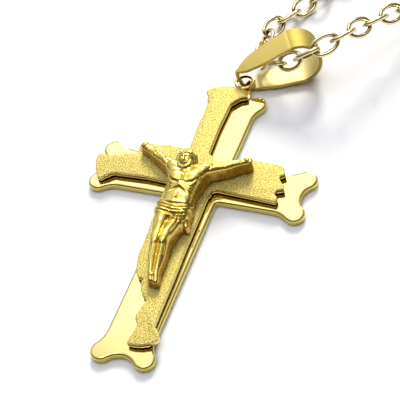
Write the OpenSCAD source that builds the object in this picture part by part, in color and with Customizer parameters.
// Cross necklace: a two-layer cross with a cast figure, a teardrop bail and an oval-link chain.
// Everything lies on the plane z = 0, face up. The origin is the middle of the crossing, on the
// underside of the back plate. +X is the arm at the viewer's right, +Y the top of the cross.

/* [Back plate] */
// Half width of the arms
arm_half = 3.26; // [2.9:0.02:3.4]
// Centre of the corner lobes of the side arms, from the middle
side_reach = 14.07; // [13.5:0.01:15]
// Centre of the corner lobes of the top arm, from the middle
top_reach = 14.64; // [14.2:0.01:15]
// Centre of the corner lobes of the foot, from the middle
foot_reach = 28.74; // [28.3:0.01:31]
// Distance of a lobe's centre from its arm's middle line
lobe_off = 2.91; // [2.7:0.01:3.1]
// Radius of the round corner lobes
lobe_r = 1.43; // [1.3:0.01:1.55]
// Radius of the hollow sweep from a straight edge into a lobe
flare_r = 3.5; // [2.5:0.1:4.5]
// Radius of the hollow between the two lobes of one end
bay_r = 2.5; // [2.2:0.1:3.5]
// Thickness of the back plate
back_t = 1.0; // [0.9:0.05:1.05]
// Height and depth of the step that stands for the rounded rim
rim = 0.16; // [0.08:0.02:0.24]

/* [Ring] */
// Height of the ring's centre above the crossing
ring_y = 18.3; // [18.25:0.01:18.35]
// Outer radius of the soldered ring
ring_r = 1.52; // [1.4:0.02:1.6]
// Radius of the ring's hole
ring_hole = 1.03; // [1.01:0.01:1.06]
// Thickness of the ring
ring_t = 0.55; // [0.45:0.05:0.6]

/* [Front plate] */
// Thickness of the torn front plate
front_t = 0.92; // [0.8:0.02:1.0]

/* [Figure] */
// Thickness of the limbs and body against the nominal figure
flesh = 1.0; // [0.9:0.02:1.06]

/* [Bail] */
// Distance from the narrow end to the centre of the bend
bail_len = 8.9; // [8.8:0.05:9.0]
// Outer radius of the bend
bend_r = 3.3; // [3.3:0.02:3.36]
// Outer height of the narrow end
bail_foot = 3.5; // [3.4:0.05:3.6]
// Width of the strap at the bend
strap_wide = 4.1; // [3.9:0.1:4.5]
// Width of the strap where it passes through the ring
strap_narrow = 0.8; // [0.7:0.02:0.82]
// Thickness of the strap
strap_t = 0.45; // [0.36:0.01:0.46]

/* [Chain] */
// Outer length of a link
link_l = 4.42; // [4.4:0.01:4.44]
// Outer width of a link
link_w = 3.0; // [2.94:0.02:3.02]
// Diameter of the wire
wire_d = 0.62; // [0.54:0.01:0.63]

/* [Hidden] */
seat_gap = 0.02;
gold = [0.86, 0.74, 0.33];
sand_gold = [0.85, 0.76, 0.38];
pale_gold = [0.84, 0.79, 0.55];

// Arc as a list of points: centre, radius, first and last angle, number of steps
function arc(c, r, a0, a1, n) =
    [for (i = [0:n]) let (a = a0 + (a1 - a0) * i / n) c + r * [cos(a), sin(a)]];

function turn2(p, a) = [p.x * cos(a) - p.y * sin(a), p.x * sin(a) + p.y * cos(a)];

// One flared end of the cross, drawn pointing along +X, from its lower edge round to its upper edge
function arm_end(reach, grow) =
    let (
        w = arm_half + flare_r,
        flare_x = reach - sqrt(pow(flare_r + lobe_r, 2) - pow(w - lobe_off, 2)),
        bay_x = reach + sqrt(pow(bay_r + lobe_r, 2) - pow(lobe_off, 2)),
        flare_a = atan2(w - lobe_off, reach - flare_x),
        bay_a = atan2(lobe_off, bay_x - reach)
    )
    concat(
        arc([flare_x, -w], flare_r - grow, 90, flare_a, 6),
        arc([reach, -lobe_off], lobe_r + grow, 180 + flare_a, 360 + bay_a, 12),
        arc([bay_x, 0], bay_r - grow, 180 + bay_a, 180 - bay_a, 10),
        arc([reach, lobe_off], lobe_r + grow, -bay_a, 180 - flare_a, 12),
        arc([flare_x, w], flare_r - grow, -flare_a, -90, 6)
    );

// Inner corner between two arms, a small hollow fillet
inner_fillet = 0.5;
function inner_corner(grow) =
    arc([1, 1] * (arm_half + inner_fillet), inner_fillet - grow, 270, 180, 5);

arms = [[0, side_reach], [90, top_reach], [180, side_reach], [270, foot_reach]];

function cross_outline(grow) =
    [for (arm = arms) each [for (p = concat(arm_end(arm[1], grow), inner_corner(grow))) turn2(p, arm[0])]];

ring_x = 0.05;
ring_z = 0.78;
neck_z = 0.3;

// The soldered neck from the top end to the ring, seen from the front
neck = [[-1.5, 14.6], [2.0, 14.6], [1.35, 17.2], [-0.85, 17.2]];

module back_plate() {
    color(gold)
    difference() {
        union() {
            linear_extrude(back_t - rim) polygon(cross_outline(0));
            linear_extrude(back_t) polygon(cross_outline(-rim));
            translate([0, 0, neck_z]) linear_extrude(back_t - neck_z) polygon(neck);
            translate([ring_x, ring_y, ring_z]) cylinder(r = ring_r, h = ring_t, $fn = 64);
        }
        translate([ring_x, ring_y, -1]) cylinder(r = ring_hole, h = 4, $fn = 48);
    }
}

// Outline of the front plate, counterclockwise: each group is one stretch of the edge
front_top = [
    [0.05, 12.8], [0.8, 13.9], [1.95, 14.55], [1.75, 15.4], [0.85, 16.05], [-0.35, 16.2],
    [-1.55, 16.0], [-3.05, 15.6], [-4.0, 15.05], [-4.25, 14.35], [-3.65, 13.6], [-3.2, 12.6]
];
front_left_arm = [
    [-3.15, 10.9], [-3.1, 7.6], [-2.85, 3.9], [-3.9, 3.7], [-6.3, 3.9], [-7.1, 3.6], [-8.4, 3.65],
    [-9.5, 3.55], [-9.85, 2.7], [-9.75, 2.1], [-9.9, 1.45], [-11.1, 1.3], [-12.1, 0.9], [-13.7, 0.5],
    [-14.6, 0.7], [-15.1, 0.45], [-15.2, -0.15], [-15.0, -0.95], [-14.65, -1.95], [-14.15, -2.9],
    [-13.75, -3.55], [-13.15, -3.65], [-12.8, -3.25], [-11.9, -2.35], [-7.1, -2.15], [-3.75, -2.3]
];
front_foot = [
    [-3.4, -9.5], [-3.2, -11.3], [-3.1, -13.0], [-3.05, -15.1], [-2.4, -17.5], [-1.8, -18.2],
    [-1.0, -18.3], [-1.1, -18.8], [-0.7, -20.0], [-0.25, -20.7], [0.3, -21.1], [0.6, -21.5],
    [0.4, -22.0], [0.3, -22.9], [0.1, -23.7], [0.25, -24.35], [0.7, -24.95], [0.85, -25.6],
    [0.65, -26.85], [0.5, -27.85], [0.65, -28.05], [1.6, -28.05], [2.7, -27.85], [3.5, -27.45],
    [4.5, -26.65], [4.25, -26.15], [3.75, -25.3], [3.1, -24.9]
];
front_right_arm = [
    [3.0, -22.5], [2.9, -17.5], [2.7, -12.0], [2.65, -8.25], [2.55, -4.2], [2.9, -2.6],
    [3.4, -2.4], [8.1, -2.6], [11.7, -2.8], [11.75, -1.9], [11.2, -1.45], [11.3, -0.85],
    [12.2, -0.55], [11.9, 0.2], [11.45, 0.65], [10.9, 1.4], [11.6, 2.05], [11.25, 2.7],
    [10.9, 3.25], [10.55, 3.4], [9.0, 3.45], [6.5, 3.55], [4.2, 3.0], [2.6, 2.6], [1.65, 2.1],
    [1.35, 2.5], [0.95, 3.0], [0.15, 3.6], [-0.05, 8.5]
];
front_base = back_t + seat_gap;

// Moves the outline to its place on the back plate
front_shift = [-0.25, 0.4];

module front_plate() {
    color(sand_gold)
    translate([front_shift.x, front_shift.y, front_base])
    linear_extrude(front_t)
    polygon(concat(front_top, front_left_arm, front_foot, front_right_arm));
}

// The figure: rounded limbs between joints. Columns: x, y, height above the plate, radius
figure_base = front_base + front_t + seat_gap;
hand_r = [-8.7, 2.55, 0.85, 0.58];
wrist_r = [-7.7, 1.95, 0.9, 0.48];
elbow_r = [-5.85, 0.95, 1.15, 0.66];
shoulder_r = [-3.3, -0.7, 1.6, 0.95];
shoulder_l = [1.1, -0.55, 1.75, 0.92];
elbow_l = [3.75, 0.65, 1.7, 0.6];
wrist_l = [5.45, 1.75, 1.6, 0.48];
hand_l = [6.3, 2.2, 1.55, 0.55];
chest_r = [-1.95, -2.8, 1.7, 1.2];
chest_l = [0.2, -2.55, 1.7, 1.2];
waist_r = [-1.6, -5.7, 1.45, 1.1];
waist_l = [0.1, -5.65, 1.45, 1.15];
hip_r = [-1.75, -8.1, 1.4, 1.25];
hip_l = [0.65, -8.1, 1.4, 1.15];
knee_r = [-1.2, -12.6, 1.7, 0.85];
knee_l = [-0.1, -12.45, 1.6, 0.85];
shin_r = [-0.65, -15.25, 1.45, 0.68];
shin_l = [0.35, -14.95, 1.35, 0.68];
ankle_r = [-0.15, -17.4, 1.2, 0.5];
ankle_l = [0.55, -17.25, 1.15, 0.52];
toe_r = [0.25, -18.5, 1.0, 0.42];
toe_l = [0.95, -18.6, 0.95, 0.45];
neck_low = [-1.1, -1.2, 1.7, 0.75];
skull = [-1.65, 0.65, 2.0, 1.25];
jaw = [-1.65, -0.5, 2.1, 0.85];
hair_r = [-2.6, -0.25, 1.3, 0.6];
hair_l = [-0.6, -0.05, 1.3, 0.6];

// A ball on a foot that widens towards the plate, as a cast limb does
draft = 0.12;
module ball(joint) {
    r = joint[3] * flesh;
    translate([joint.x, joint.y, figure_base]) {
        translate([0, 0, joint.z]) sphere(r = r, $fn = 20);
        cylinder(r1 = r + draft, r2 = r, h = joint.z, $fn = 20);
    }
}

module body(joints) {
    hull() for (joint = joints) ball(joint);
}

limbs = [
    [hand_r, wrist_r], [wrist_r, elbow_r], [elbow_r, shoulder_r], [shoulder_r, chest_r],
    [hand_l, wrist_l], [wrist_l, elbow_l], [elbow_l, shoulder_l], [shoulder_l, chest_l],
    [shoulder_r, shoulder_l], [neck_low, jaw], [skull, jaw], [skull, hair_r], [skull, hair_l],
    [hip_r, knee_r], [knee_r, shin_r], [shin_r, ankle_r], [ankle_r, toe_r],
    [hip_l, knee_l], [knee_l, shin_l], [shin_l, ankle_l], [ankle_l, toe_l]
];
loincloth = [
    [-2.0, -7.3, 1.3, 1.2], [0.75, -7.2, 1.3, 1.1], [-1.9, -9.4, 1.3, 1.1], [0.7, -9.2, 1.3, 1.0]
];
cloth_corner = [[1.1, -8.0, 1.3, 0.7], [1.75, -9.6, 1.0, 0.45]];

module figure() {
    color(gold)
    intersection() {
        union() {
            for (limb = limbs) body(limb);
            body([chest_r, chest_l, waist_r, waist_l]);
            body([waist_r, waist_l, hip_r, hip_l]);
            body(loincloth);
            body(cloth_corner);
        }
        translate([-12, -24, figure_base]) cube([24, 30, 8]);
    }
}

// The bail: a teardrop loop of strap in an upright plane, tapering towards the ring. Its narrow end
// has two rounded corners, and the lower one lies in the ring's hole
bail_at = [0.12, 18.3];
bail_turn = 28.5;
bail_roll = -5;
bail_raise = 0.11;
leg_rise = 1.2;
corner_r = 0.7;
corner_at = [corner_r, bail_foot / 2 - corner_r];
leg_way = [bail_len, 0] - corner_at;
leg_side = atan2(leg_way.y, leg_way.x) + acos((corner_r - bend_r) / norm(leg_way));
bail_tilt = leg_side - 90 + leg_rise;

// Side outline of the teardrop, inset by the strap's thickness for its inside
function teardrop(inset) = concat(
    arc([corner_at.x, -corner_at.y], corner_r - inset, 180, 360 - leg_side, 5),
    arc([bail_len, 0], bend_r - inset, -leg_side, leg_side, 36),
    arc(corner_at, corner_r - inset, leg_side, 180, 5)
);

// The strap seen from above, both edges running out from the narrow end. It leans to the far side
strap_far = [
    [-1, strap_narrow / 2], [0.6, strap_narrow / 2], [1.2, 0.27 * strap_wide],
    [1.8, 0.41 * strap_wide], [4.6, 0.52 * strap_wide], [bail_len + bend_r + 1, 0.53 * strap_wide]
];
strap_near = [
    [-1, strap_narrow / 2], [0.6, strap_narrow / 2], [1.8, 0.29 * strap_wide],
    [4.6, 0.44 * strap_wide], [bail_len, strap_wide / 2], [bail_len + bend_r + 1, strap_wide / 2]
];
strap_plan = concat(
    strap_far,
    [for (i = [len(strap_near) - 1:-1:0]) [strap_near[i].x, -strap_near[i].y]]
);

module bail() {
    color(gold)
    translate([bail_at.x, bail_at.y, corner_r + bail_raise])
    rotate([0, 0, bail_turn])
    rotate([bail_roll, 0, 0])
    rotate([0, -bail_tilt, 0])
    translate([-corner_at.x, 0, corner_at.y])
    intersection() {
        rotate([90, 0, 0])
        translate([0, 0, -strap_wide])
        linear_extrude(2 * strap_wide)
        difference() {
            polygon(teardrop(0));
            polygon(teardrop(strap_t));
        }
        translate([0, 0, -2 * bend_r]) linear_extrude(4 * bend_r) polygon(strap_plan);
    }
}

// The chain's middle line. Near the bail its points are given directly: x, y, height
clear = 0.03;
lying = (link_w - wire_d) / 2 * sin(45) + wire_d / 2 + clear;
run_left = [
    [7.2, 40.6, lying], [5.4, 37.3, lying], [3.8, 34.5, lying], [2.1, 31.9, lying],
    [0.15, 29, lying], [1.1, 26.2, 1.35], [1.2, 23.5, 1.85]
];
run_right = [
    [1.4, 21.3, 2.7], [3.9, 20.2, 3.6], [6.7, 19.9, 4.7], [9.3, 20.1, 6.4], [11.7, 21.2, 7.5],
    [13.5, 23.4, 7.5], [15.0, 25.9, 6.8], [16.6, 28.4, 6.0], [18.3, 31.0, 5.3], [20.9, 34.9, 4.0],
    [23.8, 39.1, 2.6], [27.4, 44.0, 1.5], [31.5, 49.2, lying]
];

// Further out it is a pear-shaped loop about an axis: distance along the axis, distance to its left
loop_from = [3, 24];
loop_turn = 54;
loop_left = [[30, 8], [50, 13.5], [75, 22.5], [110, 36], [150, 48], [185, 50.4], [215, 40], [231, 20]];
loop_right = [[231, -20], [215, -40], [185, -53], [150, -50], [110, -39], [75, -23.5], [55, -15.5]];
clasp_reach = 235;

function loop_point(p) = let (q = loop_from + turn2(p, loop_turn)) [q.x, q.y, lying];

// The middle line runs from one eye of the clasp round to the other, tangent to the clasp's axis
eye_off = 5.6;
route = concat(
    [loop_point([clasp_reach, -eye_off])],
    [for (p = loop_right) loop_point(p)],
    [for (i = [len(run_right) - 1:-1:0]) run_right[i]],
    [for (i = [len(run_left) - 1:-1:0]) run_left[i]],
    [for (p = loop_left) loop_point(p)],
    [loop_point([clasp_reach, eye_off])]
);

// Smooth curve through the route's points
curve_steps = 8;
function curve_at(a, b, c, d, t) =
    0.5 * (2 * b + (c - a) * t + (2 * a - 5 * b + 4 * c - d) * t * t
        + (3 * b - a - 3 * c + d) * t * t * t);
function route_point(i) =
    i < 0 ? loop_point([clasp_reach, 0]) :
    i >= len(route) ? loop_point([clasp_reach, 0]) : route[i];
curve = [
    for (i = [0:len(route) - 2]) for (k = [0:curve_steps - 1])
        curve_at(route_point(i - 1), route_point(i), route_point(i + 1), route_point(i + 2),
            k / curve_steps),
    route[len(route) - 1]
];
steps = [for (i = [1:len(curve) - 1]) norm(curve[i] - curve[i - 1])];
travel = [
    for (i = 0, sum = 0; i <= len(steps);
        sum = sum + (i < len(steps) ? steps[i] : 0), i = i + 1) sum
];
chain_len = travel[len(travel) - 1];

// Links hang in each other with a small clearance
link_gap = 0.18;
link_count = ceil(chain_len / (link_l - 2 * wire_d - link_gap));
pitch = chain_len / link_count;

function point_at(s, i = 0) =
    i >= len(steps) - 1 || travel[i + 1] >= s
        ? curve[i] + (curve[i + 1] - curve[i]) * (s - travel[i]) / steps[i]
        : point_at(s, i + 1);
knots = [for (i = [0:link_count]) point_at(min(i * pitch, chain_len - 0.001))];

module link() {
    bend = (link_w - wire_d) / 2;
    half_straight = (link_l - link_w) / 2;
    for (side = [0, 180]) rotate([0, 0, side]) {
        translate([half_straight, 0, 0])
        rotate([0, 0, -90])
        rotate_extrude(angle = 180, $fn = 48)
        translate([bend, 0])
        circle(d = wire_d, $fn = 24);
        translate([-half_straight, bend, 0])
        rotate([0, 90, 0])
        cylinder(d = wire_d, h = 2 * half_straight, $fn = 24);
    }
}

// Places a link between two knots, leaning to one side or the other
module place_link(a, b, lean) {
    along = (b - a) / norm(b - a);
    side = cross([0, 0, 1], along) / norm(cross([0, 0, 1], along));
    up = cross(along, side);
    across = side * cos(lean) + up * sin(lean);
    out = cross(along, across);
    mid = (a + b) / 2;
    multmatrix([
        [along.x, across.x, out.x, mid.x],
        [along.y, across.y, out.y, mid.y],
        [along.z, across.z, out.z, mid.z],
        [0, 0, 0, 1]
    ]) link();
}

module chain() {
    color(pale_gold)
    for (i = [0:link_count - 1]) place_link(knots[i], knots[i + 1], i % 2 == 0 ? -45 : 45);
}

// The clasp: one plain closed piece with an eye at each end
clasp_r = 0.95;
clasp_half = 3.35;
eye_r = 1.2;
eye_sink = 0.2;

// The eyes lean against the end links, which hang in them
eye_lean = -45;

module eye(side) {
    translate([side * (clasp_half + eye_r + eye_sink), 0, 0])
    rotate([eye_lean, 0, 0])
    rotate_extrude($fn = 48)
    translate([eye_r, 0])
    circle(d = wire_d, $fn = 24);
}

module clasp() {
    color(pale_gold)
    translate(loop_point([clasp_reach, 0]))
    rotate([0, 0, loop_turn + 90]) {
        rotate([0, 90, 0]) cylinder(r = clasp_r, h = 2 * clasp_half, center = true, $fn = 48);
        for (side = [-1, 1]) translate([side * clasp_half, 0, 0]) sphere(r = clasp_r, $fn = 48);
        eye(-1);
        eye(1);
    }
}

back_plate();
front_plate();
figure();
bail();
chain();
clasp();
